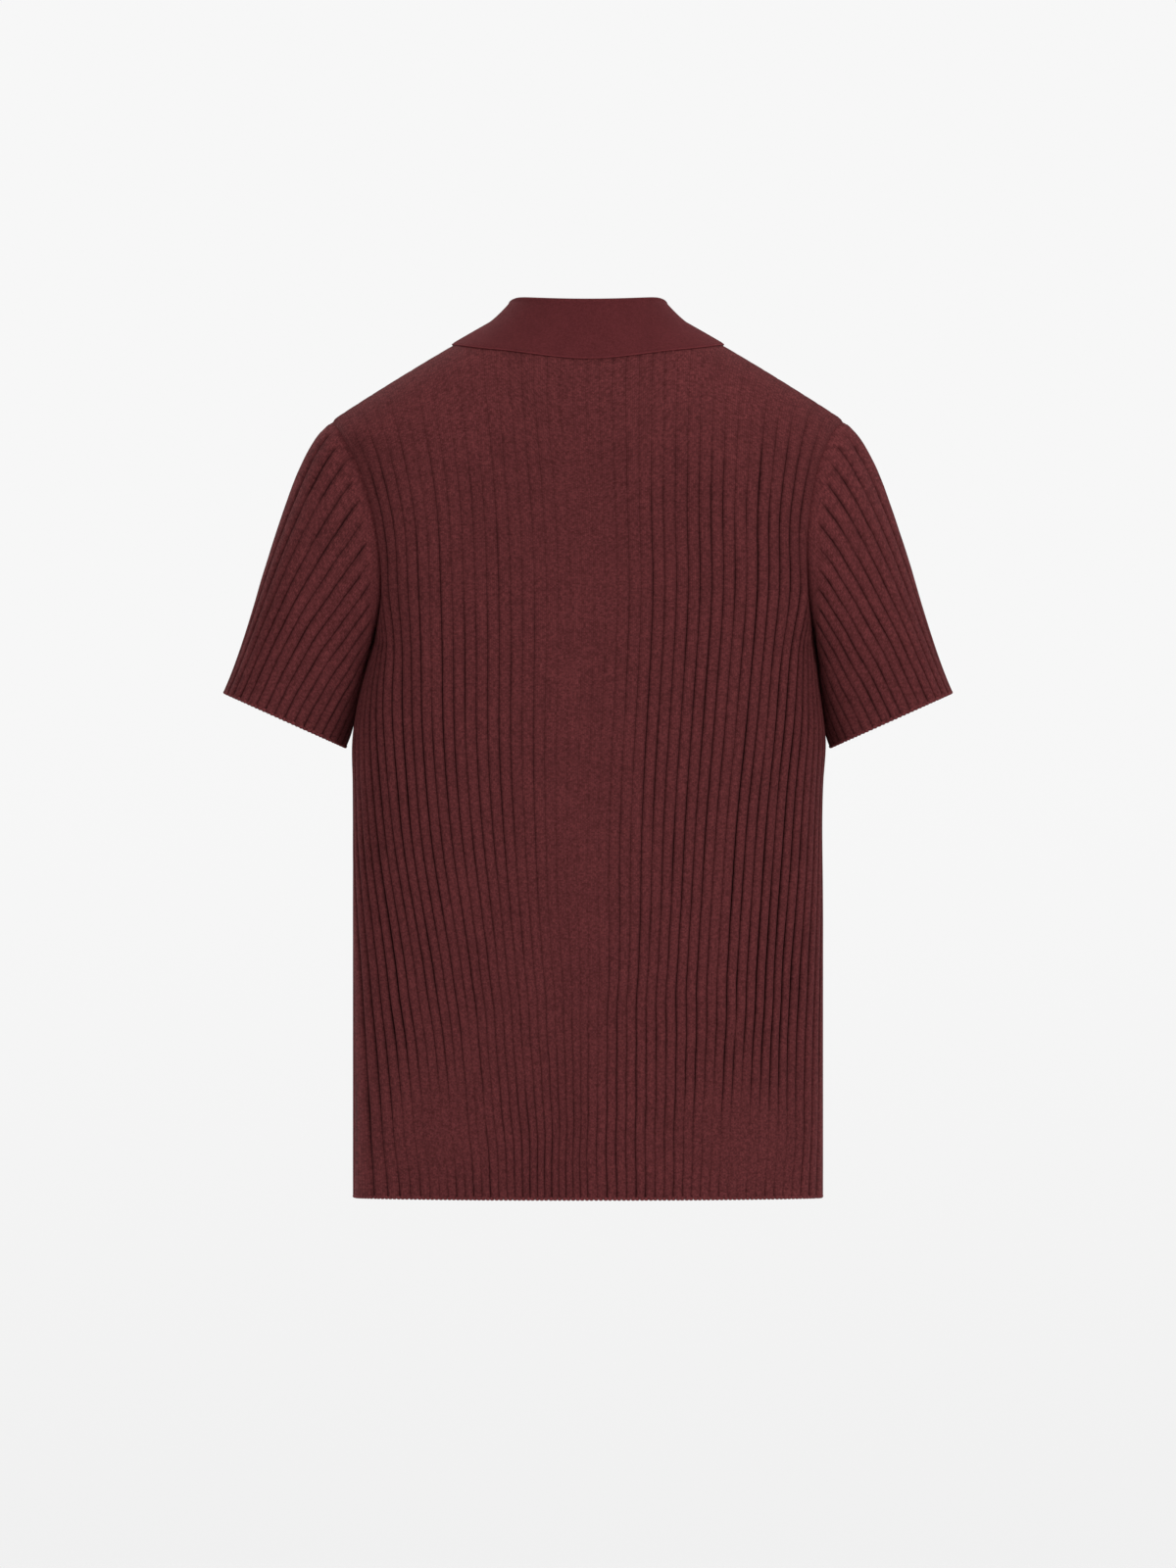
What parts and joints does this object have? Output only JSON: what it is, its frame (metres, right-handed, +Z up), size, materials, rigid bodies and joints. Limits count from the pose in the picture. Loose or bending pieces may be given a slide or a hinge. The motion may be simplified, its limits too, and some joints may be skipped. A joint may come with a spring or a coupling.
{
  "type": "knit polo shirt",
  "caption": "short-sleeved shirt in ribbed knit with a turned-down knitted collar, filled out and open at neck, hem and cuffs",
  "frame": {"origin": "at the base of the neck, where the shoulders leave the collar, midway between the side seams", "axes": "+Z up, -Y to the front of the shirt, +X to the wearer's left"},
  "size_m": [0.5682, 0.1931, 0.7003],
  "materials": {
    "ribbed_knit": "matte",
    "collar_knit": "matte"
  },
  "bodies": {
    "root": {"back": "ribbed_knit", "front": "ribbed_knit", "sleeve_left": "ribbed_knit", "sleeve_right": "ribbed_knit", "collar": "collar_knit"}
  },
  "joints": []
}
